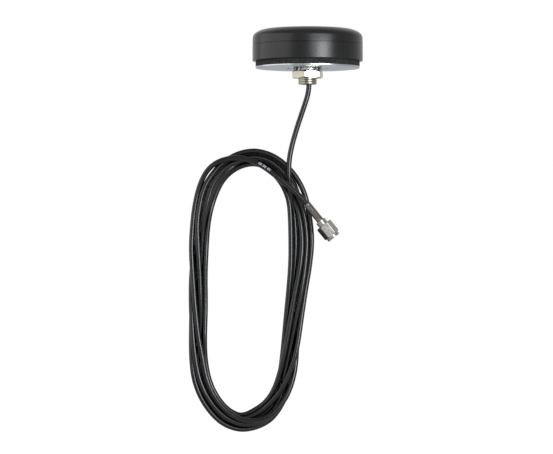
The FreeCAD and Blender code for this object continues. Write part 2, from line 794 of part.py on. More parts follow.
def make_shell():
    """Turned body of the plug: crimp stem, shoulder, barrel with the ring seat, contact sleeve."""
    body = new_body("connector_body")
    seat_rad = d.shell_barrel_rad - d.ring_seat_depth
    seat_end = ring_from + d.ring_thick
    cavity_rad = d.shell_nose_rad - d.shell_wall
    core_way = d.core_rad + d.slip_gap
    turned(
        body,
        "Revolution",
        "Shell",
        [
            (core_way, d.jacket_end),
            (d.cable_rad, d.jacket_end),
            (d.cable_rad, shoulder_from),
            (d.shell_shoulder_rad, shoulder_from),
            (d.shell_shoulder_rad, barrel_from),
            (d.shell_barrel_rad, barrel_from),
            (d.shell_barrel_rad, ring_from),
            (seat_rad, ring_from),
            (seat_rad, seat_end),
            (d.shell_barrel_rad, seat_end),
            (d.shell_barrel_rad, nose_from),
            (d.shell_nose_rad, nose_from),
            (d.shell_nose_rad, nose_end),
            (cavity_rad, nose_end),
            (cavity_rad, insulator_from),
            (core_way, insulator_from),
        ],
    )
    set_on_plug(body)


def make_retaining_ring():
    """Split snap ring in the barrel's seat, which holds the coupling nut on."""
    body = new_body("retaining_ring")
    seat_rad = d.shell_barrel_rad - d.ring_seat_depth
    low = (seat_rad, ring_from)
    turned(body, "Revolution", "Ring", box_corners(low, (d.ring_rad, ring_from + d.ring_thick)))
    opening = math.tan(math.radians(d.ring_split.value / 2))
    past = d.ring_rad + d.ring_thick
    sketch = sketch_on(body, "XY_Plane", "split_outline", ring_from)
    add_outline(sketch, [(ZERO, ZERO), (past, past * -opening), (past, past * opening)])
    extruded(body, "Pocket", "Split", sketch, d.ring_thick)
    set_on_plug(body)


def make_coupling_nut():
    """Coupling nut: hexagon with a round lip, thread in front and a lip behind the snap ring."""
    body = new_body("coupling_nut")
    sketch = sketch_on(body, "XY_Plane", "hexagon", coupling_from)
    add_outline(sketch, hexagon(coupling_flats))
    extruded(body, "Pad", "Hexagon", sketch, d.coupling_hex_length)
    trim_corners(body, "RearCorners", coupling_flats, coupling_from, d.coupling_chamfer, True)
    trim_corners(body, "FrontCorners", coupling_flats, hex_end, d.coupling_chamfer, False)
    sketch = sketch_on(body, "XY_Plane", "lip_outline", hex_end)
    add_circle(sketch, coupling_lip_rad)
    extruded(body, "Pad", "Lip", sketch, d.coupling_lip_length)
    way_rad = d.shell_barrel_rad + d.turn_gap
    pocket_from = ring_from - d.turn_gap
    pocket_end = ring_from + d.ring_thick + d.turn_gap
    pocket_rad = d.ring_rad + d.turn_gap
    past = lip_end + d.turn_gap
    turned(
        body,
        "Groove",
        "Bore",
        [
            (ZERO, coupling_from - d.turn_gap),
            (way_rad, coupling_from - d.turn_gap),
            (way_rad, pocket_from),
            (pocket_rad, pocket_from),
            (pocket_rad, pocket_end),
            (d.coupling_thread_rad, pocket_end),
            (d.coupling_thread_rad, lip_end - d.coupling_mouth),
            (d.coupling_thread_rad + d.coupling_mouth, lip_end),
            (d.coupling_thread_rad + d.coupling_mouth, past),
            (ZERO, past),
        ],
    )
    set_on_plug(body)


def make_seal_ring():
    """Silicone ring at the foot of the contact sleeve."""
    body = new_body("connector_gasket")
    low = (d.shell_nose_rad, nose_from)
    high = (d.seal_ring_rad, nose_from + d.seal_ring_thick)
    turned(body, "Revolution", "Ring", box_corners(low, high))
    set_on_plug(body)


def make_insulator():
    """Insulator that centres the contact pin in the shell."""
    body = new_body("insulator")
    outside = d.shell_nose_rad - d.shell_wall
    turned(
        body,
        "Revolution",
        "Insulator",
        [
            (d.wire_rad + d.slip_gap, insulator_from),
            (outside, insulator_from),
            (outside, nose_end),
            (d.pin_rad, nose_end),
            (d.pin_rad, pin_from),
            (d.wire_rad + d.slip_gap, pin_from),
        ],
    )
    set_on_plug(body)


def make_pin():
    """Contact pin with a solder bore at the rear and a stepped, tapered front."""
    body = new_body("centre_pin")
    tip_end = nose_end + d.pin_tip_length
    socket_end = pin_from + d.pin_socket
    turned(
        body,
        "Revolution",
        "Pin",
        [
            (d.wire_rad, pin_from),
            (d.pin_rad, pin_from),
            (d.pin_rad, nose_end),
            (d.pin_tip_rad, nose_end),
            (d.pin_tip_rad, tip_end - d.pin_taper),
            (d.pin_point_rad, tip_end),
            (ZERO, tip_end),
            (ZERO, socket_end),
            (d.wire_rad, socket_end),
        ],
    )
    set_on_plug(body)


# Free lead

def lead_path(points):
    """Straight runs joined by arcs as large as the runs allow. Gives the wire and the radii."""
    edges = []
    radii = []
    last = points[0]
    for before, corner, after in zip(points, points[1:], points[2:]):
        back = before - corner
        ahead = after - corner
        half_turn = (math.pi - back.getAngle(ahead)) / 2
        trim = ARC_SHARE * min(back.Length, ahead.Length)
        radius = trim / math.tan(half_turn)
        back.normalize()
        ahead.normalize()
        start = corner + back * trim
        end = corner + ahead * trim
        inward = (back + ahead).normalize()
        middle = corner + inward * (radius / math.cos(half_turn) - radius)
        edges.append(Part.LineSegment(last, start).toShape())
        edges.append(Part.Arc(start, middle, end).toShape())
        radii.append(radius)
        last = end
    edges.append(Part.LineSegment(last, points[-1]).toShape())
    return Part.Wire(edges), radii


def make_lead(name, points):
    """A tube of the cable's size along its route. Prints its radii and its volume against them."""
    path, radii = lead_path(points)
    along = (points[1] - points[0]).normalize()
    disc = Part.Wire([Part.Circle(points[0], along, d.cable_rad.value).toShape()])
    tube = path.makePipeShell([disc], True, False)
    lead = doc.addObject("Part::Feature", name)
    lead.Label = name
    lead.Shape = tube
    lead.Placement = Placement()
    nodes[name] = lead
    expected = math.pi * d.cable_rad.value**2 * path.Length
    bends = " ".join(f"{radius:.0f}" for radius in radii)
    share = tube.Volume / expected
    print(f"{name}: length {path.Length:.1f}, radii {bends}, volume {share:.4f}")


def coil_slab(side):
    """The slab inside the outer (1) or the inner (-1) edge of the hanging coil."""
    middle = [Vector(x, 0, z) for x, z, _ in COIL_STATIONS]
    count = len(middle)
    points = []
    for i, (_, _, half_width) in enumerate(COIL_STATIONS):
        along = middle[(i + 1) % count] - middle[i - 1]
        outward = Vector(-along.z, 0, along.x).normalize()
        points.append(middle[i] + outward * (side * half_width))
    edge = Part.BSplineCurve()
    edge.interpolate(Points=points, PeriodicFlag=True)
    depth = d.coil_half_depth.value
    face = Part.Face(Part.Wire([edge.toShape()]))
    face.translate(Vector(0, -depth, 0))
    return face.extrude(Vector(0, 2 * depth, 0))


def make_coil():
    """One closed solid of the hanging coil's outer shape."""
    coil = doc.addObject("Part::Feature", "cord_coil")
    coil.Label = "cord_coil"
    coil.Shape = coil_slab(1).cut(coil_slab(-1))
    coil.Placement = Placement()
    nodes["cord_coil"] = coil


def make_lead_in():
    """From the stud's end down over the coil and into its right side."""
    start = Vector(d.cable_offset.value, 0, stud_end.value)
    make_lead("cord_lead_in", [start] + [Vector(*point) for point in ROUTE_IN])


def make_lead_out():
    """From the coil's upper left, over its top, to the rear of the ferrule."""
    seat = plug_placement()
    end = seat.Base
    before_end = seat.multVec(Vector(0, 0, -LAST_RUN))
    make_lead("cord_lead_out", [Vector(*point) for point in ROUTE_OUT] + [before_end, end])


def check(label, item):
    """Stops when an object has failed or its shape is missing or invalid."""
    if "Invalid" in item.State or "Error" in item.State:
        raise RuntimeError(f"{label} failed: {item.State}")
    if hasattr(item, "Shape") and (item.Shape.isNull() or not item.Shape.isValid()):
        raise RuntimeError(f"{label} has no valid shape")


make_cover()
make_floor()
make_gasket()
make_plate()
make_stud()
make_washer()
make_mounting_nut()
make_board()
make_element()
make_screws(
    "board_screws",
    post_ring,
    d.post_turn.value,
    d.post_count,
    board_top,
    d.board_screw_length,
    False,
)
make_screws(
    "cover_screws",
    boss_ring,
    d.boss_turn.value,
    d.boss_count,
    gasket_top + d.screw_head_height,
    d.cover_screw_length,
    True,
)
make_cable_inner_end()
make_cable_seal()
make_cable_stop()
make_cable_outer_end()
make_ferrule()
make_shell()
make_retaining_ring()
make_coupling_nut()
make_seal_ring()
make_insulator()
make_pin()
make_coil()
make_lead_in()
make_lead_out()
doc.recompute()

for item in doc.Objects:
    if item.TypeId.startswith(("PartDesign::", "Sketcher::", "Part::")):
        if "Sketch" not in item.TypeId and item.TypeId != "PartDesign::CoordinateSystem":
            check(item.Name, item)
        elif "Invalid" in item.State or "Error" in item.State:
            raise RuntimeError(f"{item.Name} failed: {item.State}")
for name, item in nodes.items():
    check(name, item)

os.makedirs("parts", exist_ok=True)
for name, item in nodes.items():
    item.Shape.exportStep(f"parts/{name}.step")
    print(f"{name}: {len(item.Shape.Solids)} solid(s), {item.Shape.Volume:.1f} cubic mm")
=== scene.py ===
import json
import math

import bmesh
import bpy
from mathutils import Matrix, Vector


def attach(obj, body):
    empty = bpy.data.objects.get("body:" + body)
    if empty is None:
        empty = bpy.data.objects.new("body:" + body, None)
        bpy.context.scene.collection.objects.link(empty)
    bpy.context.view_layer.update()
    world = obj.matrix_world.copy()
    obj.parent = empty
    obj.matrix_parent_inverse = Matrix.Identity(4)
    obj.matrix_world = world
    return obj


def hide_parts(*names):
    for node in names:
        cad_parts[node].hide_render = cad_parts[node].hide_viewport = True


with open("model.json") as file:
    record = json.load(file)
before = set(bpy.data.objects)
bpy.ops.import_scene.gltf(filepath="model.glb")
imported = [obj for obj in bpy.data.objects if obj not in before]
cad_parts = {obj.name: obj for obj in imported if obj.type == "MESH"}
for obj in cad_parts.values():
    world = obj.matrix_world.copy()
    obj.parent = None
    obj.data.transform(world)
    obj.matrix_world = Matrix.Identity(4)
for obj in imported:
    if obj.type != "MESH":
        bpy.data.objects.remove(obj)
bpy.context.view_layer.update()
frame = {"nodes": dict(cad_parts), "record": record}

# Panel antenna with a coiled lead. Sizes are written in millimetres and turned to metres by MM.
MM = 0.001
MAIN_BODY = "antenna"
NUT_BODY = "coupling"


# Camera, room and light

CAMERA_PLACE = (-16.5, -1311.0, -84.1)
CAMERA_LENS = 161.0
LAMPS_AIM = (-15.0, 0.0, -70.0)
FLOOR_LEVEL = -235.0
FLOOR_REACH = 6000.0
FLOOR_GLOW = 0.9
FLOOR_GLOW_IN_METAL = 0.4
ROOM_FILL = 0.3
ROOM_IN_FRONT = 0.5
ROOM_BEHIND = 0.85
ROOM_BRIGHTENS_FROM = 0.3


def add_camera():
    """A long lens, level, straight at the middle of the whole part."""
    camera = bpy.data.objects.new("Camera", bpy.data.cameras.new("Camera"))
    camera.data.lens = CAMERA_LENS
    camera.location = Vector(CAMERA_PLACE) * MM
    camera.rotation_euler = (math.radians(90.0), 0.0, 0.0)
    bpy.context.collection.objects.link(camera)
    bpy.context.scene.camera = camera


def add_soft_box(name, azimuth, elevation, distance, width, height, watts, colour):
    """A lamp that looks at the part, sizes in metres. Azimuth 0 is at the camera, 90 at the right."""
    light = bpy.data.lights.new(name, "AREA")
    light.shape = "RECTANGLE"
    light.size = width
    light.size_y = height
    light.energy = watts
    light.color = colour
    box = bpy.data.objects.new(name, light)
    turn = math.radians(azimuth)
    rise = math.radians(elevation)
    away = Vector(
        (math.sin(turn) * math.cos(rise), -math.cos(turn) * math.cos(rise), math.sin(rise))
    )
    box.location = Vector(LAMPS_AIM) * MM + away * distance
    box.rotation_euler = away.to_track_quat("Z", "Y").to_euler()
    bpy.context.collection.objects.link(box)


def add_lights():
    """A small bright box in front of a wider one at the right, and a wide one at the left."""
    add_soft_box(
        "RightCore", azimuth=31.0, elevation=-2.5, distance=1.45, width=0.5, height=0.55, watts=9.0,
        colour=(0.93, 0.96, 1.0),
    )
    add_soft_box(
        "RightBox", azimuth=28.0, elevation=5.0, distance=1.5, width=1.2, height=0.8, watts=9.0,
        colour=(0.9, 0.93, 1.0),
    )
    add_soft_box(
        "LeftBox", azimuth=-75.0, elevation=8.0, distance=1.4, width=2.4, height=1.4, watts=10.5,
        colour=(1.0, 0.99, 0.97),
    )


def linear(hex_colour):
    """An sRGB hex colour as the linear colour that the shaders take."""
    channels = [int(hex_colour[i : i + 2], 16) / 255.0 for i in (1, 3, 5)]
    red, green, blue = (
        ((channel + 0.055) / 1.055) ** 2.4 if channel > 0.04045 else channel / 12.92
        for channel in channels
    )
    return red, green, blue, 1.0


def add_node(tree, kind, sockets=None, stops=(), **settings):
    """Adds a shader node. A socket gets a value, an output or a node, which means its first output.

    A colour ramp gets its stops as (position, hex colour), from low to high.
    """
    node = tree.nodes.new("ShaderNode" + kind)
    for name, value in settings.items():
        setattr(node, name, value)
    for socket, source in (sockets or {}).items():
        if isinstance(source, bpy.types.Node):
            source = source.outputs[0]
        if isinstance(source, bpy.types.NodeSocket):
            tree.links.new(source, node.inputs[socket])
        else:
            node.inputs[socket].default_value = source
    for number, (position, colour) in enumerate(stops):
        if number == len(node.color_ramp.elements):
            node.color_ramp.elements.new(position)
        node.color_ramp.elements[number].position = position
        node.color_ramp.elements[number].color = linear(colour)
    return node


def add_room():
    """White to the camera and through glass. Metal sees it pale behind the part, dim in front."""
    world = bpy.data.worlds.new("Studio")
    bpy.context.scene.world = world
    world.use_nodes = True
    tree = world.node_tree
    tree.nodes.clear()
    path = add_node(tree, "LightPath")
    direction = add_node(tree, "TexCoord").outputs["Generated"]
    depth = add_node(tree, "SeparateXYZ", {"Vector": direction}).outputs["Y"]
    brightness = add_node(
        tree,
        "MapRange",
        {
            "Value": depth,
            "From Min": ROOM_BRIGHTENS_FROM,
            "To Min": ROOM_IN_FRONT,
            "To Max": ROOM_BEHIND,
        },
    )
    mirrored = add_node(tree, "Background", {"Color": brightness})
    fill = add_node(tree, "Background", {"Color": linear("#F2F4F7"), "Strength": ROOM_FILL})
    white = add_node(tree, "Background", {"Color": (1.0, 1.0, 1.0, 1.0)})
    glossy = add_node(tree, "MixShader", {0: path.outputs["Is Glossy Ray"], 1: fill, 2: mirrored})
    through = add_node(
        tree, "MixShader", {0: path.outputs["Is Transmission Ray"], 1: glossy, 2: white}
    )
    seen = add_node(tree, "MixShader", {0: path.outputs["Is Camera Ray"], 1: through, 2: white})
    add_node(tree, "OutputWorld", {"Surface": seen})


def matt_paper():
    """Floor: matt paper, grey in itself. A glow that lights nothing makes it white to the camera."""
    material = bpy.data.materials.new("matt_white_paper")
    material.use_nodes = True
    tree = material.node_tree
    tree.nodes.clear()
    path = add_node(tree, "LightPath")
    seen = add_node(
        tree,
        "Math",
        {0: path.outputs["Is Camera Ray"], 1: path.outputs["Is Transmission Ray"]},
        operation="MAXIMUM",
    )
    mirrored = add_node(
        tree,
        "Math",
        {0: path.outputs["Is Glossy Ray"], 1: FLOOR_GLOW_IN_METAL},
        operation="MULTIPLY",
    )
    strength = add_node(
        tree, "Math", {0: seen, 1: FLOOR_GLOW, 2: mirrored}, operation="MULTIPLY_ADD"
    )
    paper = add_node(tree, "BsdfDiffuse", {"Color": linear("#B4B4B3")})
    glow = add_node(tree, "Emission", {"Color": (1.0, 1.0, 1.0, 1.0), "Strength": strength})
    both = add_node(tree, "AddShader", {0: paper, 1: glow})
    add_node(tree, "OutputMaterial", {"Surface": both})
    return material


def add_floor():
    """Floor below the hanging coil, which keeps the part's shadow."""
    bm = bmesh.new()
    bmesh.ops.create_grid(bm, x_segments=1, y_segments=1, size=FLOOR_REACH * MM)
    bmesh.ops.translate(bm, verts=bm.verts, vec=(0.0, 0.0, FLOOR_LEVEL * MM))
    mesh = bpy.data.meshes.new("Floor")
    bm.to_mesh(mesh)
    bm.free()
    floor = bpy.data.objects.new("Floor", mesh)
    bpy.context.collection.objects.link(floor)
    mesh.materials.append(matt_paper())


# Finishes

def new_finish(name):
    """An empty material, and the point on the part that its patterns are laid on."""
    material = bpy.data.materials.new(name)
    material.use_nodes = True
    tree = material.node_tree
    tree.nodes.clear()
    return material, tree, add_node(tree, "TexCoord").outputs["Object"]


def per_metre(millimetres):
    """How many times a pattern of this real size repeats in a metre."""
    return 1.0 / (millimetres * MM)


def moulded_abs():
    """Cover: ABS moulded in a spark-eroded tool. Satin, with a fine even grain and faint rubs.

    The real grain is too fine to show, so it is drawn at 0.35 mm.
    """
    material, tree, place = new_finish("moulded_black_abs")
    grain = add_node(
        tree,
        "TexNoise",
        {"Vector": place, "Scale": per_metre(0.35), "Detail": 3.0, "Roughness": 0.6},
    )
    rubs = add_node(tree, "TexNoise", {"Vector": place, "Scale": per_metre(9.0), "Detail": 4.0})
    tones = add_node(tree, "ValToRGB", {"Fac": rubs}, stops=((0.3, "#090A0C"), (0.7, "#0F1012")))
    sheen = add_node(tree, "MapRange", {"Value": rubs, "To Min": 0.25, "To Max": 0.31})
    relief = add_node(tree, "Bump", {"Height": grain, "Distance": 0.012 * MM})
    surface = add_node(
        tree, "BsdfPrincipled", {"Base Color": tones, "Roughness": sheen, "Normal": relief}
    )
    add_node(tree, "OutputMaterial", {"Surface": surface})
    return material


def inner_abs():
    """Closing floor: plain black ABS, matt, never seen when the cover is on."""
    material, tree, place = new_finish("plain_black_abs")
    rubs = add_node(tree, "TexNoise", {"Vector": place, "Scale": per_metre(6.0)})
    tones = add_node(tree, "ValToRGB", {"Fac": rubs}, stops=((0.3, "#1A1A1B"), (0.7, "#242425")))
    surface = add_node(tree, "BsdfPrincipled", {"Base Color": tones, "Roughness": 0.55})
    add_node(tree, "OutputMaterial", {"Surface": surface})
    return material


def foam_rubber():
    """Gasket: closed-cell foam rubber. Cut cells give a mottled, matt, charcoal edge."""
    material, tree, place = new_finish("closed_cell_foam_rubber")
    cells = add_node(tree, "TexVoronoi", {"Vector": place, "Scale": per_metre(0.55)})
    blotches = add_node(
        tree, "TexNoise", {"Vector": place, "Scale": per_metre(2.6), "Detail": 3.0}
    )
    mottle = add_node(tree, "Math", {0: cells, 1: blotches}, operation="MULTIPLY")
    tones = add_node(
        tree,
        "ValToRGB",
        {"Fac": mottle},
        stops=((0.08, "#101010"), (0.25, "#272726"), (0.45, "#3E3E3C")),
    )
    relief = add_node(tree, "Bump", {"Height": cells, "Distance": 0.12 * MM})
    surface = add_node(
        tree, "BsdfPrincipled", {"Base Color": tones, "Roughness": 0.9, "Normal": relief}
    )
    add_node(tree, "OutputMaterial", {"Surface": surface})
    return material


def bright_plate():
    """Base plate: steel sheet with bright zinc. A mirror with faint rolling lines."""
    material, tree, place = new_finish("bright_zinc_on_steel_sheet")
    lengthened = add_node(tree, "Mapping", {"Vector": place, "Scale": (0.12, 1.0, 1.0)})
    lines = add_node(
        tree, "TexNoise", {"Vector": lengthened, "Scale": per_metre(0.9), "Detail": 4.0}
    )
    tones = add_node(tree, "ValToRGB", {"Fac": lines}, stops=((0.3, "#B1B7BF"), (0.7, "#C3C9D0")))
    sheen = add_node(tree, "MapRange", {"Value": lines, "To Min": 0.2, "To Max": 0.32})
    relief = add_node(tree, "Bump", {"Height": lines, "Distance": 0.01 * MM})
    surface = add_node(
        tree,
        "BsdfPrincipled",
        {"Base Color": tones, "Metallic": 1.0, "Roughness": sheen, "Normal": relief},
    )
    add_node(tree, "OutputMaterial", {"Surface": surface})
    return material


def turned_nickel():
    """Stud and nut: turned brass with nickel. Warm, bright, with the tool's fine rings.

    The rings are drawn at 0.16 mm, coarser than the tool leaves them, so that they show.
    """
    material, tree, place = new_finish("nickel_on_turned_brass")
    flattened = add_node(tree, "Mapping", {"Vector": place, "Scale": (0.08, 0.08, 1.0)})
    rings = add_node(
        tree, "TexNoise", {"Vector": flattened, "Scale": per_metre(0.16), "Detail": 3.0}
    )
    handling = add_node(
        tree, "TexNoise", {"Vector": place, "Scale": per_metre(3.0), "Detail": 3.0}
    )
    tones = add_node(
        tree, "ValToRGB", {"Fac": handling}, stops=((0.3, "#ADA699"), (0.7, "#C0B9AC"))
    )
    sheen = add_node(tree, "MapRange", {"Value": handling, "To Min": 0.14, "To Max": 0.26})
    relief = add_node(tree, "Bump", {"Height": rings, "Distance": 0.006 * MM})
    surface = add_node(
        tree,
        "BsdfPrincipled",
        {"Base Color": tones, "Metallic": 1.0, "Roughness": sheen, "Normal": relief},
    )
    add_node(tree, "OutputMaterial", {"Surface": surface})
    return material


def zinc_hardware():
    """Washer, screws and stop ring: zinc on pressed steel, duller and greyer than the nut."""
    material, tree, place = new_finish("zinc_on_pressed_steel")
    bloom = add_node(tree, "TexNoise", {"Vector": place, "Scale": per_metre(0.9), "Detail": 3.0})
    tones = add_node(tree, "ValToRGB", {"Fac": bloom}, stops=((0.3, "#CBCDD0"), (0.7, "#E0E1E3")))
    sheen = add_node(tree, "MapRange", {"Value": bloom, "To Min": 0.42, "To Max": 0.56})
    relief = add_node(tree, "Bump", {"Height": bloom, "Distance": 0.008 * MM})
    surface = add_node(
        tree,
        "BsdfPrincipled",
        {"Base Color": tones, "Metallic": 1.0, "Roughness": sheen, "Normal": relief},
    )
    add_node(tree, "OutputMaterial", {"Surface": surface})
    return material


def pvc_jacket():
    """Lead: extruded PVC, glossy black, with soft unevenness from the extruder's die."""
    material, tree, place = new_finish("extruded_black_pvc")
    waves = add_node(tree, "TexNoise", {"Vector": place, "Scale": per_metre(5.0)})
    skin = add_node(tree, "TexNoise", {"Vector": place, "Scale": per_metre(0.5)})
    tones = add_node(tree, "ValToRGB", {"Fac": waves}, stops=((0.3, "#040405"), (0.7, "#09090B")))
    sheen = add_node(tree, "MapRange", {"Value": skin, "To Min": 0.16, "To Max": 0.24})
    relief = add_node(tree, "Bump", {"Height": skin, "Distance": 0.004 * MM})
    surface = add_node(
        tree, "BsdfPrincipled", {"Base Color": tones, "Roughness": sheen, "Normal": relief}
    )
    add_node(tree, "OutputMaterial", {"Surface": surface})
    return material


def jacket_print():
    """White ink of the plain marks on the lead's jacket: matt and a little worn."""
    material, tree, place = new_finish("white_marking_ink")
    wear = add_node(tree, "TexNoise", {"Vector": place, "Scale": per_metre(0.4), "Detail": 3.0})
    tones = add_node(tree, "ValToRGB", {"Fac": wear}, stops=((0.35, "#8B8F92"), (0.6, "#B4B7B9")))
    surface = add_node(tree, "BsdfPrincipled", {"Base Color": tones, "Roughness": 0.5})
    add_node(tree, "OutputMaterial", {"Surface": surface})
    return material


def plug_nickel():
    """Plug: nickel on turned brass, bright, a little warm, with a fine grain under the plating.

    The grain is drawn at 0.15 mm, coarser than the real one, so that it shows.
    """
    material, tree, place = new_finish("nickel_on_plug_brass")
    handling = add_node(
        tree, "TexNoise", {"Vector": place, "Scale": per_metre(1.2), "Detail": 3.0}
    )
    grain = add_node(tree, "TexNoise", {"Vector": place, "Scale": per_metre(0.15)})
    tones = add_node(
        tree, "ValToRGB", {"Fac": handling}, stops=((0.3, "#A8A49C"), (0.7, "#BDB9B2"))
    )
    sheen = add_node(tree, "MapRange", {"Value": handling, "To Min": 0.16, "To Max": 0.28})
    relief = add_node(tree, "Bump", {"Height": grain, "Distance": 0.003 * MM})
    surface = add_node(
        tree,
        "BsdfPrincipled",
        {"Base Color": tones, "Metallic": 1.0, "Roughness": sheen, "Normal": relief},
    )
    add_node(tree, "OutputMaterial", {"Surface": surface})
    return material


def crimped_nickel():
    """Ferrule: nickel dulled by the jaws of the crimping tool, with uneven grey rubs."""
    material, tree, place = new_finish("dull_nickel_on_crimped_brass")
    rubs = add_node(tree, "TexNoise", {"Vector": place, "Scale": per_metre(0.9), "Detail": 4.0})
    tones = add_node(tree, "ValToRGB", {"Fac": rubs}, stops=((0.3, "#6A6762"), (0.7, "#86827C")))
    sheen = add_node(tree, "MapRange", {"Value": rubs, "To Min": 0.34, "To Max": 0.46})
    relief = add_node(tree, "Bump", {"Height": rubs, "Distance": 0.006 * MM})
    surface = add_node(
        tree,
        "BsdfPrincipled",
        {"Base Color": tones, "Metallic": 1.0, "Roughness": sheen, "Normal": relief},
    )
    add_node(tree, "OutputMaterial", {"Surface": surface})
    return material


def board_laminate():
    """Circuit board: glass-fibre laminate under green solder mask, with a woven shimmer."""
    material, tree, place = new_finish("solder_mask_on_glass_laminate")
    weave = add_node(
        tree,
        "TexBrick",
        {
            "Vector": place,
            "Scale": per_metre(1.2),
            "Color1": linear("#0E3B20"),
            "Color2": linear("#11482A"),
            "Mortar": linear("#1B5D38"),
        },
    )
    surface = add_node(tree, "BsdfPrincipled", {"Base Color": weave, "Roughness": 0.3})
    add_node(tree, "OutputMaterial", {"Surface": surface})
    return material


def tinned_brass():
    """Radiating plate: stamped brass with dull tin, which has large soft spangles."""
    material, tree, place = new_finish("dull_tin_on_brass_sheet")
    spangle = add_node(
        tree, "TexNoise", {"Vector": place, "Scale": per_metre(2.2), "Detail": 3.0}
    )
    tones = add_node(
        tree, "ValToRGB", {"Fac": spangle}, stops=((0.3, "#B9B29E"), (0.7, "#CFCABB"))
    )
    sheen = add_node(tree, "MapRange", {"Value": spangle, "To Min": 0.3, "To Max": 0.45})
    surface = add_node(
        tree, "BsdfPrincipled", {"Base Color": tones, "Metallic": 1.0, "Roughness": sheen}
    )
    add_node(tree, "OutputMaterial", {"Surface": surface})
    return material


def soft_polymer(name, low, high, mottle_mm, roughness):
    """A rubber or a soft plastic: one tone with a faint mottle between low and high."""
    material, tree, place = new_finish(name)
    mottle = add_node(
        tree, "TexNoise", {"Vector": place, "Scale": per_metre(mottle_mm), "Detail": 3.0}
    )
    tones = add_node(tree, "ValToRGB", {"Fac": mottle}, stops=((0.3, low), (0.7, high)))
    relief = add_node(tree, "Bump", {"Height": mottle, "Distance": 0.01 * MM})
    surface = add_node(
        tree, "BsdfPrincipled", {"Base Color": tones, "Roughness": roughness, "Normal": relief}
    )
    add_node(tree, "OutputMaterial", {"Surface": surface})
    return material


def stained_metal(name, low, high, roughness):
    """Bare or plated metal of a small piece, with a faint stain between low and high."""
    material, tree, place = new_finish(name)
    stain = add_node(tree, "TexNoise", {"Vector": place, "Scale": per_metre(0.5)})
    tones = add_node(tree, "ValToRGB", {"Fac": stain}, stops=((0.3, low), (0.7, high)))
    surface = add_node(
        tree, "BsdfPrincipled", {"Base Color": tones, "Metallic": 1.0, "Roughness": roughness}
    )
    add_node(tree, "OutputMaterial", {"Surface": surface})
    return material


finishes = {
    "cover_plastic": moulded_abs(),
    "inner_plastic": inner_abs(),
    "foam_rubber": foam_rubber(),
    "bright_plate": bright_plate(),
    "nickel": turned_nickel(),
    "zinc_steel": zinc_hardware(),
    "board_laminate": board_laminate(),
    "tinned_brass": tinned_brass(),
    "cable_jacket": pvc_jacket(),
    "plug_nickel": plug_nickel(),
    # Cable seal: nitrile rubber from a mould, matt and nearly black.
    "soft_rubber": soft_polymer("black_moulded_rubber", "#131313", "#202020", 1.0, 0.7),
    # Plug's face seal: silicone, brick red, with a soft sheen.
    "silicone": soft_polymer("red_silicone_rubber", "#7A2A1E", "#8C3526", 0.8, 0.5),
    # Insulator: turned fluoropolymer, waxy white.
    "white_insulator": soft_polymer("white_fluoropolymer", "#DADAD6", "#E6E6E2", 0.8, 0.45),
    # Snap ring: bare phosphor bronze wire, brown and bright.
    "spring_bronze": stained_metal("phosphor_bronze_wire", "#8C5A32", "#A56F42", 0.3),
    # Contact pin: thin gold on brass, smooth and yellow.
    "gold_contact": stained_metal("gold_on_brass", "#C99B45", "#DDB15C", 0.18),
}


# Pieces

SPIN_STEPS = 192
ROUND_STEPS = 6
MERGE_DISTANCE = 1e-7
SHARP_OVER = 32.0


def finish_piece(name, bm, finish, body, node="", sharp_over=SHARP_OVER):
    """Turns a bmesh into a piece: smooth faces with crisp edges, its finish, body and node."""
    bmesh.ops.recalc_face_normals(bm, faces=bm.faces)
    for face in bm.faces:
        face.smooth = True
    limit = math.radians(sharp_over)
    for edge in bm.edges:
        edge.smooth = len(edge.link_faces) == 2 and edge.calc_face_angle(0.0) < limit
    mesh = bpy.data.meshes.new(name)
    bm.to_mesh(mesh)
    bm.free()
    piece = bpy.data.objects.new(name, mesh)
    bpy.context.collection.objects.link(piece)
    mesh.materials.append(finish)
    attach(piece, body)
    if node:
        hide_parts(node)
    return piece


def spun(corners, closed=True):
    """Spins an outline about the Z axis. Each corner is (radius, height, cut for its round).

    An outline that isn't closed starts and ends on the axis.
    """
    bm = bmesh.new()
    points = [bm.verts.new((rad * MM, 0.0, height * MM)) for rad, height, _ in corners]
    ends = points[1:] + points[:1] if closed else points[1:]
    for start, end in zip(points, ends):
        bm.edges.new((start, end))
    for point, (_, _, cut) in zip(points, corners):
        if cut > 0.0:
            bmesh.ops.bevel(
                bm,
                geom=[point],
                offset=cut * MM,
                affect="VERTICES",
                segments=ROUND_STEPS,
                profile=0.5,
                material=-1,
            )
    bmesh.ops.spin(
        bm,
        geom=bm.verts[:] + bm.edges[:],
        cent=(0, 0, 0),
        axis=(0, 0, 1),
        angle=2 * math.pi,
        steps=SPIN_STEPS,
        use_merge=True,
    )
    bmesh.ops.remove_doubles(bm, verts=bm.verts, dist=MERGE_DISTANCE)
    return bm


def ring_of(bm, reach, count):
    """Edges of a ring of vertices. Reach gives (radius, height) in mm for each turn, in radians."""
    made = bmesh.ops.create_circle(bm, segments=count, radius=MM)["verts"]
    for point in made:
        turn = math.atan2(point.co.y, point.co.x)
        rad, height = reach(turn)
        point.co = Vector((rad * math.cos(turn), rad * math.sin(turn), height)) * MM
    return list({edge for point in made for edge in point.link_edges})


def rings_joined(reaches, count):
    """Rings joined one to the next, and the last to the first, as one closed skin."""
    bm = bmesh.new()
    rings = [ring_of(bm, reach, count) for reach in reaches]
    for ring, after in zip(rings, rings[1:] + rings[:1]):
        bmesh.ops.bridge_loops(bm, edges=ring + after)
    return bm


def circle_at(rad, height):
    """A plain round ring."""
    return lambda turn: (rad, height)


# A hexagon's corners lose this much of their reach, and a 30 degree cone turns them off.
CORNER_CUT = 0.1
CORNER_CONE = math.tan(math.radians(30.0))


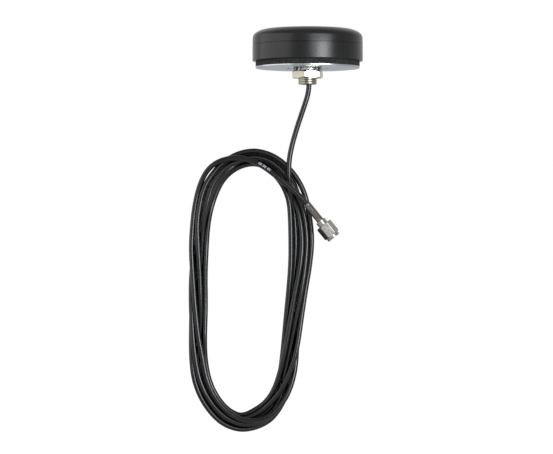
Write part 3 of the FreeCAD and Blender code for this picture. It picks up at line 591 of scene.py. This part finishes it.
def hexagon_distance(flats, turn, corner_cut):
    """From the axis to a hexagon's side at this turn. A corner is at 0, slightly cut off."""
    side = math.pi / 3
    off_corner = abs((turn + side / 2) % side - side / 2)
    return min(flats / 2 / math.cos(side / 2 - off_corner), flats / math.sqrt(3) - corner_cut)


def hexagon_at(flats, first_corner, height, face_rad, up):
    """A ring on a hexagon, which a cone has cut at its corners. Up is 1 at its top, -1 below."""

    def reach(turn):
        rad = hexagon_distance(flats, turn - first_corner, CORNER_CUT)
        return rad, height - up * max(0.0, rad - face_rad) * CORNER_CONE

    return reach


# A thread's profile, with shares of its pitch: half the flat at its low radius, and its flanks.
HALF_FLAT = 0.05
FLANK = 0.25


def thread_at(low, high, pitch, height, limit=math.inf):
    """A ring on a screw thread, with a narrow flat at its low radius and a wide one at its high."""

    def reach(turn):
        share = (height / pitch - turn / (2 * math.pi)) % 1.0
        off_low = 0.5 - abs(share - 0.5)
        rise = max(0.0, min(1.0, (off_low - HALF_FLAT) / FLANK))
        return min(limit, low + (high - low) * rise), height

    return reach


def heights(first, last, step):
    """Even steps from first to last, near the given step."""
    count = max(1, round(abs(last - first) / step))
    return [first + (last - first) * i / count for i in range(count + 1)]


# Cover: its shoulder slopes from the roof's edge down to the wall, which has a little draft.
COVER_TOP = 20.6
COVER_RAD = 29.25
COVER_RIM = 3.85
COVER_WALL = 2.0
WALL_DRAFT = 0.17
ROOF_RAD = 25.6
ROOF_ROUND = 9.0
SHOULDER_LOW = 17.4
SHOULDER_ROUND = 2.8
SHOULDER_SLOPE = math.atan2(COVER_TOP - SHOULDER_LOW, COVER_RAD - ROOF_RAD)
ROOF_TANGENT = math.tan(SHOULDER_SLOPE / 2)
SHOULDER_TANGENT = math.tan(math.pi / 4 - SHOULDER_SLOPE / 2)
PARTING_LINE = 12.35
PARTING_DEPTH = 0.22
PARTING_HALF_MOUTH = 0.31
PARTING_HALF_FLOOR = 0.19
# Gasket and base plate.
GASKET_BORE_RAD = 15.0
GASKET_TOP = 3.7
GASKET_STEP = 0.5
STEP_LOW = 1.2
STEP_HIGH = 1.25
PLATE_RAD = 27.6
PLATE_TOP = 0.9
PLATE_BORE_RAD = 5.05
GROOVE_INNER_RAD = 9.95
GROOVE_OUTER_RAD = 11.05
GROOVE_DEPTH = 0.5
GROOVE_ROUND = 0.06
# The plate's land inside the groove stands back from the panel by this much.
LAND_BACK = 0.1
# Outlines as (radius, height, length cut off each side of a rounded corner).
COVER = (
    (0.0, COVER_TOP, 0.0),
    (ROOF_RAD, COVER_TOP, ROOF_ROUND * ROOF_TANGENT),
    (COVER_RAD - WALL_DRAFT, SHOULDER_LOW, SHOULDER_ROUND * SHOULDER_TANGENT),
    (COVER_RAD, PARTING_LINE + PARTING_HALF_MOUTH, 0.0),
    (COVER_RAD - PARTING_DEPTH, PARTING_LINE + PARTING_HALF_FLOOR, 0.0),
    (COVER_RAD - PARTING_DEPTH, PARTING_LINE - PARTING_HALF_FLOOR, 0.0),
    (COVER_RAD, PARTING_LINE - PARTING_HALF_MOUTH, 0.0),
    (COVER_RAD, COVER_RIM, 0.25),
    (COVER_RAD - COVER_WALL, COVER_RIM, 0.0),
    (COVER_RAD - COVER_WALL, SHOULDER_LOW - COVER_WALL * SHOULDER_TANGENT, 0.6),
    (ROOF_RAD - COVER_WALL * ROOF_TANGENT, COVER_TOP - COVER_WALL, 1.0),
    (0.0, COVER_TOP - COVER_WALL, 0.0),
)
GASKET = (
    (GASKET_BORE_RAD, PLATE_TOP, 0.3),
    (PLATE_RAD - GASKET_STEP, PLATE_TOP, 0.0),
    (PLATE_RAD - GASKET_STEP, STEP_LOW, 0.0),
    (PLATE_RAD, STEP_HIGH, 0.1),
    (PLATE_RAD, GASKET_TOP, 0.45),
    (GASKET_BORE_RAD, GASKET_TOP, 0.3),
)
PLATE = (
    (PLATE_BORE_RAD, LAND_BACK, 0.0),
    (GROOVE_INNER_RAD, LAND_BACK, GROOVE_ROUND),
    (GROOVE_INNER_RAD, GROOVE_DEPTH, GROOVE_ROUND),
    (GROOVE_OUTER_RAD, GROOVE_DEPTH, GROOVE_ROUND),
    (GROOVE_OUTER_RAD, 0.0, GROOVE_ROUND),
    (PLATE_RAD, 0.0, 0.25),
    (PLATE_RAD, PLATE_TOP, 0.0),
    (PLATE_BORE_RAD, PLATE_TOP, 0.0),
)


def add_puck():
    """Cover with its sloped shoulder and the mould's parting line, foam gasket and plate."""
    finish_piece(
        "antenna_cover", spun(COVER, closed=False), finishes["cover_plastic"], MAIN_BODY,
        node="radome_cover",
    )
    finish_piece(
        "foam_gasket", spun(GASKET), finishes["foam_rubber"], MAIN_BODY,
        node="sealing_gasket",
    )
    finish_piece(
        "bright_base_plate", spun(PLATE), finishes["bright_plate"], MAIN_BODY,
        node="base_plate",
    )


# Stud and its nut: M10 x 1. Their rings have a vertex every 1.5 degrees.
AROUND = 240
THREAD_ROOT = 4.6
THREAD_CREST = 5.0
THREAD_PITCH = 1.0
THREAD_PLAY = 0.03
THREAD_RINGS = 12
STUD_END = -8.6
STUD_CHAMFER = 0.5
STUD_BORE = 2.6
BORE_CHAMFER = 0.15
THREAD_START = STUD_END + 0.05
THREAD_TOP = -0.6
FLANGE_LOW = 6.1
FLANGE_TOP = 7.7
FLANGE_RAD = 9.0
FLANGE_HALF_FLATS = 7.0
FLANGE_CHAMFER = 0.1
NUT_TOP = -1.5
NUT_LOW = -5.3
NUT_FLATS = 15.0
NUT_FACE_RAD = 7.38
NUT_CORNER = math.radians(18.0)
NUT_MOUTH_RAD = THREAD_CREST + 0.15
NUT_THREAD_INSET = 0.02


def flange_at(height, inset=0.0):
    """A ring on the stud's flange, which has two flats."""

    def reach(turn):
        flat = FLANGE_HALF_FLATS / max(1e-6, abs(math.sin(turn)))
        return min(FLANGE_RAD, flat) - inset, height

    return reach


def add_stud():
    """Hollow stud with its real helical thread, chamfered end and two-flat flange.

    The thread grows out of the chamfer, and its root rises to the crest just below the top.
    """
    end_rad = THREAD_CREST - STUD_CHAMFER
    reaches = [
        circle_at(STUD_BORE, STUD_END + BORE_CHAMFER),
        circle_at(STUD_BORE + BORE_CHAMFER, STUD_END),
        circle_at(end_rad, STUD_END),
    ]
    for height in heights(THREAD_START, THREAD_TOP, THREAD_PITCH / THREAD_RINGS):
        limit = min(THREAD_CREST, end_rad + (height - STUD_END))
        root = max(THREAD_ROOT, THREAD_CREST - max(0.0, THREAD_TOP - height))
        reaches.append(thread_at(root, THREAD_CREST, THREAD_PITCH, height, limit))
    reaches += [
        circle_at(THREAD_CREST, FLANGE_LOW),
        flange_at(FLANGE_LOW, FLANGE_CHAMFER),
        flange_at(FLANGE_LOW + FLANGE_CHAMFER),
        flange_at(FLANGE_TOP - FLANGE_CHAMFER),
        flange_at(FLANGE_TOP, FLANGE_CHAMFER),
        circle_at(STUD_BORE, FLANGE_TOP),
    ]
    finish_piece(
        "threaded_stud", rings_joined(reaches, AROUND), finishes["nickel"], MAIN_BODY,
        node="hollow_stud",
    )


def add_mounting_nut():
    """Hexagon nut with coned corners, and a thread along the stud's from a mouth at each face."""
    reaches = [
        circle_at(NUT_MOUTH_RAD, NUT_LOW),
        circle_at(NUT_FACE_RAD, NUT_LOW),
        hexagon_at(NUT_FLATS, NUT_CORNER, NUT_LOW, NUT_FACE_RAD, up=-1.0),
        hexagon_at(NUT_FLATS, NUT_CORNER, NUT_TOP, NUT_FACE_RAD, up=1.0),
        circle_at(NUT_FACE_RAD, NUT_TOP),
        circle_at(NUT_MOUTH_RAD, NUT_TOP),
    ]
    top = NUT_TOP - NUT_THREAD_INSET
    bottom = NUT_LOW + NUT_THREAD_INSET
    for height in heights(top, bottom, THREAD_PITCH / THREAD_RINGS):
        from_face = min(NUT_TOP - height, height - NUT_LOW)
        root = min(THREAD_CREST, max(THREAD_ROOT, NUT_MOUTH_RAD - from_face))
        reaches.append(
            thread_at(root + THREAD_PLAY, THREAD_CREST + THREAD_PLAY, THREAD_PITCH, height)
        )
    finish_piece(
        "hexagon_nut", rings_joined(reaches, AROUND), finishes["nickel"], MAIN_BODY,
        node="mounting_nut",
    )


# Plug: heights run along its axis from the ferrule's rear.
PLUG_REAR = (-0.5, -7.0, -72.0)
PLUG_LEAN = math.radians(141.0)
PLUG_ROLL = math.radians(12.0)
PLUG_PLACE = (
    Matrix.Translation(Vector(PLUG_REAR) * MM)
    @ Matrix.Rotation(PLUG_LEAN, 4, "Y")
    @ Matrix.Rotation(PLUG_ROLL, 4, "Z")
)
PLUG_AROUND = 144
FERRULE_LENGTH = 11.3
FERRULE_RAD = 1.95
FERRULE_FLATS = 3.4
FERRULE_CORNER_CUT = 0.03
FERRULE_BORE = 1.44
FERRULE_CHAMFER = 0.12
CRIMP_START = 0.9
CRIMP_END = 10.4
CRIMP_RUN = 0.5
CRIMP_HALF_WAY = 0.55
FERRULE_SHARP_OVER = 22.0
COUPLING_REAR = 13.9
COUPLING_FRONT = 21.2
COUPLING_FLATS = 8.0
COUPLING_FACE_RAD = 3.93
COUPLING_TURN = math.radians(-12.0)
LIP_FRONT = 22.8
LIP_RAD = 3.65
LIP_CHAMFER = 0.2
LIP_MOUTH_RAD = 3.3
COUPLING_PITCH = 0.706
COUPLING_CREST = 2.93
COUPLING_ROOT = 3.18
COUPLING_THREAD_FRONT = 22.7
COUPLING_THREAD_REAR = 16.6
COUPLING_THREAD_RINGS = 8
RING_SEAT_RAD = 3.05
RING_SEAT_FRONT = 16.4
RING_SEAT_REAR = 15.7
REAR_BORE = 2.6


def crimped_at(height, share):
    """A ring on the ferrule: round at share 0, pressed to a hexagon at share 1."""

    def reach(turn):
        pressed = min(FERRULE_RAD, hexagon_distance(FERRULE_FLATS, turn, FERRULE_CORNER_CUT))
        return FERRULE_RAD + (pressed - FERRULE_RAD) * share, height

    return reach


def add_ferrule():
    """Ferrule, pressed to a hexagon between its two round ends."""
    reaches = [
        circle_at(FERRULE_BORE, 0.0),
        circle_at(FERRULE_RAD - FERRULE_CHAMFER, 0.0),
        circle_at(FERRULE_RAD, FERRULE_CHAMFER),
        crimped_at(CRIMP_START, 0.0),
        crimped_at(CRIMP_START + CRIMP_RUN / 2, CRIMP_HALF_WAY),
        crimped_at(CRIMP_START + CRIMP_RUN, 1.0),
        crimped_at(CRIMP_END - CRIMP_RUN, 1.0),
        crimped_at(CRIMP_END - CRIMP_RUN / 2, CRIMP_HALF_WAY),
        crimped_at(CRIMP_END, 0.0),
        circle_at(FERRULE_RAD, FERRULE_LENGTH),
        circle_at(FERRULE_BORE, FERRULE_LENGTH),
    ]
    ferrule = rings_joined(reaches, PLUG_AROUND)
    bmesh.ops.transform(ferrule, matrix=PLUG_PLACE, verts=ferrule.verts)
    return finish_piece(
        "ferrule", ferrule, crimped_nickel(), MAIN_BODY,
        node="crimp_ferrule", sharp_over=FERRULE_SHARP_OVER,
    )


def add_coupling():
    """Coupling nut with its front lip, its inner thread and the seat of the snap ring."""
    reaches = [
        circle_at(REAR_BORE, COUPLING_REAR),
        circle_at(COUPLING_FACE_RAD, COUPLING_REAR),
        hexagon_at(COUPLING_FLATS, COUPLING_TURN, COUPLING_REAR, COUPLING_FACE_RAD, up=-1.0),
        hexagon_at(COUPLING_FLATS, COUPLING_TURN, COUPLING_FRONT, COUPLING_FACE_RAD, up=1.0),
        circle_at(COUPLING_FACE_RAD, COUPLING_FRONT),
        circle_at(LIP_RAD, COUPLING_FRONT),
        circle_at(LIP_RAD, LIP_FRONT - LIP_CHAMFER),
        circle_at(LIP_RAD - LIP_CHAMFER, LIP_FRONT),
        circle_at(LIP_MOUTH_RAD, LIP_FRONT),
    ]
    step = COUPLING_PITCH / COUPLING_THREAD_RINGS
    for height in heights(COUPLING_THREAD_FRONT, COUPLING_THREAD_REAR, step):
        reaches.append(thread_at(COUPLING_CREST, COUPLING_ROOT, COUPLING_PITCH, height))
    reaches += [
        circle_at(RING_SEAT_RAD, RING_SEAT_FRONT),
        circle_at(RING_SEAT_RAD, RING_SEAT_REAR),
        circle_at(REAR_BORE, RING_SEAT_REAR),
    ]
    coupling = rings_joined(reaches, PLUG_AROUND)
    bmesh.ops.transform(coupling, matrix=PLUG_PLACE, verts=coupling.verts)
    return finish_piece(
        "hexagon_coupling", coupling, finishes["plug_nickel"], NUT_BODY,
        node="coupling_nut",
    )


# Lead: the points of its free stretches in order, and the coil's middle line as (x, z).
LEAD_IN = (
    (0.7, 0.0, -8.6),
    (0.55, 0.0, -12.6),
    (-1.35, -0.5, -18.8),
    (-3.7, -1.5, -25.7),
    (-6.1, -2.6, -33.0),
    (-8.2, -3.6, -40.4),
    (-9.8, -3.9, -48.0),
    (-10.1, -3.9, -56.0),
    (-9.7, -3.0, -62.5),
    (-8.8, -1.6, -68.5),
)
LEAD_OUT = (
    (-35.9, -3.9, -47.2),
    (-29.3, -5.7, -49.0),
    (-23.1, -6.6, -52.3),
    (-17.0, -7.0, -57.0),
    (-10.4, -7.0, -62.3),
    (-3.58, -7.0, -68.19),
    PLUG_REAR,
)
COIL_MIDDLE = (
    (-4.0, -75.5), (-3.2, -90.0), (-3.9, -104.0), (-5.7, -118.0), (-7.3, -133.5), (-8.9, -149.3),
    (-11.2, -161.1), (-14.1, -171.3), (-18.4, -179.0), (-24.1, -184.4), (-34.0, -188.5),
    (-41.8, -186.1), (-47.9, -180.7), (-53.2, -172.7), (-56.4, -163.6), (-57.8, -153.0),
    (-58.4, -142.0), (-58.5, -126.0), (-58.1, -110.0), (-57.6, -96.0), (-56.9, -83.1),
    (-55.3, -73.0), (-52.7, -63.6), (-48.6, -56.8), (-43.2, -51.8), (-36.7, -48.2),
    (-29.5, -46.8), (-23.3, -48.0), (-17.7, -50.9), (-12.9, -55.3), (-9.1, -60.6), (-6.1, -67.4),
)
# The turns' lanes, clockwise: the place on the middle line, how far outside it, and how far in
# front of (-) or behind (+) the coil's middle. Points of the strands were read off the photograph,
# and a separate script worked out most of the distances outside from them.
TURNS = (
    (
        (0, -3.2, 0.4), (3, -2.6, 1.2), (5, 0.8, 1.5), (7, 3.4, 1.5), (9, 4.7, 1.2),
        (10, 3.7, 0.2), (14, 4.1, 0.3), (15, 3.8, 0.3), (16, 3.3, 0.6), (17, 2.9, 1.3),
        (18, 0.9, 1.8), (20, -1.2, 0.6), (22, -3.0, -0.2), (24, -2.3, 0.4), (25, -1.0, 1.6),
        (27, -1.3, 1.8), (30, -2.0, 1.6), (31, -1.8, 0.4),
    ),
    (
        (0, -0.8, -1.3), (1, 0.5, -1.3), (2, 0.2, -1.4), (4, -1.9, -1.4), (5, -2.9, -1.4),
        (7, -3.6, -1.4), (9, -4.7, -1.0), (10, -4.0, 0.8), (12, -3.6, 1.5), (14, -3.5, 1.2),
        (15, -3.3, 0.4), (16, -3.7, -0.2), (17, -4.4, -0.8), (18, -3.7, -1.0), (20, -3.9, -0.2),
        (21, -4.1, 1.4), (22, -4.7, 1.8), (24, -3.8, 1.6), (25, -3.7, 0.6), (27, -3.4, -0.1),
        (29, -4.1, -0.6), (31, -4.3, -1.2),
    ),
    (
        (0, -5.2, -1.5), (1, -5.6, -1.5), (3, -4.3, -1.4), (4, -4.2, 0.0), (5, -4.0, 1.4),
        (7, -2.3, 1.5), (8, 0.0, 1.5), (9, 0.1, 1.5), (10, 1.4, 1.5), (11, 1.6, 1.5),
        (13, 2.0, 1.5), (14, 1.8, 1.5), (15, 0.4, 1.5), (16, -1.4, 0.9), (17, -1.9, -0.8),
        (18, -1.0, -1.4), (20, 1.7, -1.4), (22, 2.3, -1.4), (23, 2.0, -0.8), (24, 2.6, -0.2),
        (26, 3.3, -0.6), (29, 3.9, -0.8), (31, 4.7, -0.9),
    ),
    (
        (0, 4.6, -0.6), (1, 5.7, -0.2), (3, 4.4, -1.0), (5, 3.1, -1.4), (6, 1.7, -1.4),
        (8, -2.1, -1.4), (9, -2.3, -1.4), (10, -1.8, 0.6), (12, -0.7, 1.5), (14, -0.8, 1.5),
        (16, 0.6, 1.5), (17, 0.2, 1.4), (18, -1.4, 1.2), (20, -1.4, -1.4), (22, -1.5, -1.6),
        (24, -0.3, -1.0), (25, -0.9, -0.6), (27, 0.3, -0.2), (29, 0.2, -0.3), (31, 0.7, -0.6),
    ),
    (
        (0, 1.9, -0.8), (1, 3.0, -1.2), (3, 2.4, -1.4), (5, -0.6, -1.2), (6, -0.9, 0.2),
        (7, 0.8, 1.4), (9, 3.4, 0.4), (10, 0.6, -0.8), (11, 0.1, -1.0), (13, 0.8, -1.2),
        (16, 2.4, -1.2), (17, 3.2, 0.0), (18, 3.6, 1.2), (19, 2.4, 1.6), (20, 1.2, 1.9),
        (22, 0.3, 1.9), (25, 1.8, 2.2), (28, 2.1, 2.8), (29, 2.1, 2.9), (30, 1.7, 3.0),
        (31, 1.2, 2.6),
    ),
    (
        (0, 0.1, 2.2), (1, -1.1, 1.5), (2, -0.7, 1.5), (3, 0.7, 1.5), (4, 1.7, 1.4),
        (5, 3.2, 1.2), (6, 4.4, -0.2), (7, 4.0, -1.4), (9, 2.1, -1.4), (10, -1.8, -1.5),
        (11, -3.0, -1.5), (14, -2.4, -1.5), (15, -2.0, -1.5), (18, 2.7, -1.5), (19, 4.1, -1.2),
        (20, 4.1, -0.2), (21, 4.5, -0.2), (22, 4.9, -0.2), (23, 5.6, -1.0), (24, 4.2, -2.4),
    ),
)
CABLE_DIAMETER = 2.8
# The tube's flat faces lie a little inside its radius, so it is a little more than the cable's.
TUBE_RAD = 1.42
# Moving strands apart: rounds, the share of a lack that each gives way, and the pull to a soft run.
EASING_ROUNDS = 240
EASING_SHARE = 0.25
SOFTNESS = 0.04


def coil_lanes():
    """[outside, depth] at every place of every turn, on straight lines between the lanes' keys."""
    keys = [
        (number * len(COIL_MIDDLE) + place, outside, depth)
        for number, turn in enumerate(TURNS)
        for place, outside, depth in turn
    ]
    lanes = [list(keys[0][1:])]
    for (first, *here), (last, *there) in zip(keys, keys[1:]):
        for step in range(1, last - first + 1):
            share = step / (last - first)
            lanes.append([a + (b - a) * share for a, b in zip(here, there)])
    return lanes


def ease_apart(lanes):
    """Moves strands that would run through each other apart in depth, with soft runs."""
    wished = [depth for _, depth in lanes]
    for _ in range(EASING_ROUNDS):
        for one in range(len(lanes)):
            for other in range(one + len(COIL_MIDDLE), len(lanes), len(COIL_MIDDLE)):
                beside = lanes[one][0] - lanes[other][0]
                if abs(beside) < CABLE_DIAMETER:
                    side = 1.0 if wished[other] >= wished[one] else -1.0
                    needed = math.sqrt(CABLE_DIAMETER**2 - beside**2)
                    lack = max(0.0, needed - side * (lanes[other][1] - lanes[one][1]))
                    lanes[one][1] -= side * lack * EASING_SHARE
                    lanes[other][1] += side * lack * EASING_SHARE
        for before, lane, after in zip(lanes, lanes[1:], lanes[2:]):
            lane[1] += SOFTNESS * ((before[1] + after[1]) / 2 - lane[1])


def coil_points():
    """Points of all the coil's turns, one turn after the other, in millimetres."""
    lanes = coil_lanes()
    ease_apart(lanes)
    points = []
    for number, (outside, depth) in enumerate(lanes):
        place = number % len(COIL_MIDDLE)
        x, z = COIL_MIDDLE[place]
        before = COIL_MIDDLE[place - 1]
        after = COIL_MIDDLE[(place + 1) % len(COIL_MIDDLE)]
        run = math.dist(before, after)
        points.append(
            (
                x - (after[1] - before[1]) / run * outside,
                depth,
                z + (after[0] - before[0]) / run * outside,
            )
        )
    return points


def add_lead():
    """The whole lead as one line, from the stud through the coil's turns to the plug."""
    curve = bpy.data.curves.new("coaxial_lead", "CURVE")
    curve.dimensions = "3D"
    curve.bevel_depth = TUBE_RAD * MM
    curve.bevel_resolution = 5
    curve.resolution_u = 6
    spline = curve.splines.new("NURBS")
    points = list(LEAD_IN) + coil_points() + list(LEAD_OUT)
    spline.points.add(len(points) - 1)
    for point, (x, y, z) in zip(spline.points, points):
        point.co = (x * MM, y * MM, z * MM, 1.0)
    spline.order_u = 3
    spline.use_endpoint_u = True
    lead = bpy.data.objects.new("coaxial_lead", curve)
    bpy.context.collection.objects.link(lead)
    curve.materials.append(finishes["cable_jacket"])
    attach(lead, MAIN_BODY)
    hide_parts("cord_lead_in", "cord_coil", "cord_lead_out")
    return lead


# The marks' middles on the straight lead to the plug, in millimetres from the plug's end.
MARKS = (27.1, 29.8, 32.4)
MARK_LENGTH = 1.9
MARK_WIDTH = 1.3
MARK_TURN = math.radians(8.0)
MARK_RAD = CABLE_DIAMETER / 2 + 0.01
INK_THICKNESS = 0.02
# Up, leant back a little, so that the marks look forward and a little up.
MARKS_UP = (0.0, 0.25, 1.0)


def line_of(curve_object):
    """Points along the middle of a curve, read from its mesh with no thickness."""
    bare = curve_object.copy()
    bare.data = curve_object.data.copy()
    bare.data.bevel_depth = 0.0
    mesh = bpy.data.meshes.new_from_object(bare)
    points = [vertex.co.copy() for vertex in mesh.vertices]
    bpy.data.objects.remove(bare)
    return points


def place_along(points, distance):
    """Point and direction at a distance back from the end of a line of points."""
    left = distance
    for after, before in zip(points[::-1], points[-2::-1]):
        step = (after - before).length
        if left <= step:
            break
        left -= step
    along = (after - before).normalized()
    return after - along * left, along


def add_marks(points, ink):
    """Plain printed dashes on the jacket, on the side that faces up and forward."""
    marks = []
    for number, middle in enumerate(MARKS, start=1):
        bm = bmesh.new()
        bmesh.ops.create_grid(bm, x_segments=10, y_segments=6, size=0.5)
        for point in bm.verts:
            centre, along = place_along(points, (middle + point.co.x * MARK_LENGTH) * MM)
            front = along.cross(Vector(MARKS_UP)).normalized()
            up = front.cross(along).normalized()
            turn = MARK_TURN + point.co.y * MARK_WIDTH / (CABLE_DIAMETER / 2)
            point.co = centre + (front * math.cos(turn) + up * math.sin(turn)) * MARK_RAD * MM
        mark = finish_piece(f"jacket_mark_{number}", bm, ink, MAIN_BODY)
        skin = mark.modifiers.new("Ink", "SOLIDIFY")
        skin.thickness = INK_THICKNESS * MM
        skin.offset = 0.0
        marks.append(mark)
    return marks


bpy.context.scene.view_settings.view_transform = "Standard"
add_camera()
add_room()
add_floor()
add_lights()

# Every solid gets the finish of its slot.
for part in frame["record"]["subparts"]:
    materials = frame["nodes"][part["node"]].data.materials
    materials.clear()
    materials.append(finishes[part["material_slot"]])

add_puck()
add_stud()
add_mounting_nut()
ferrule = add_ferrule()
coupling = add_coupling()
lead = add_lead()
marks = add_marks(line_of(lead), jacket_print())
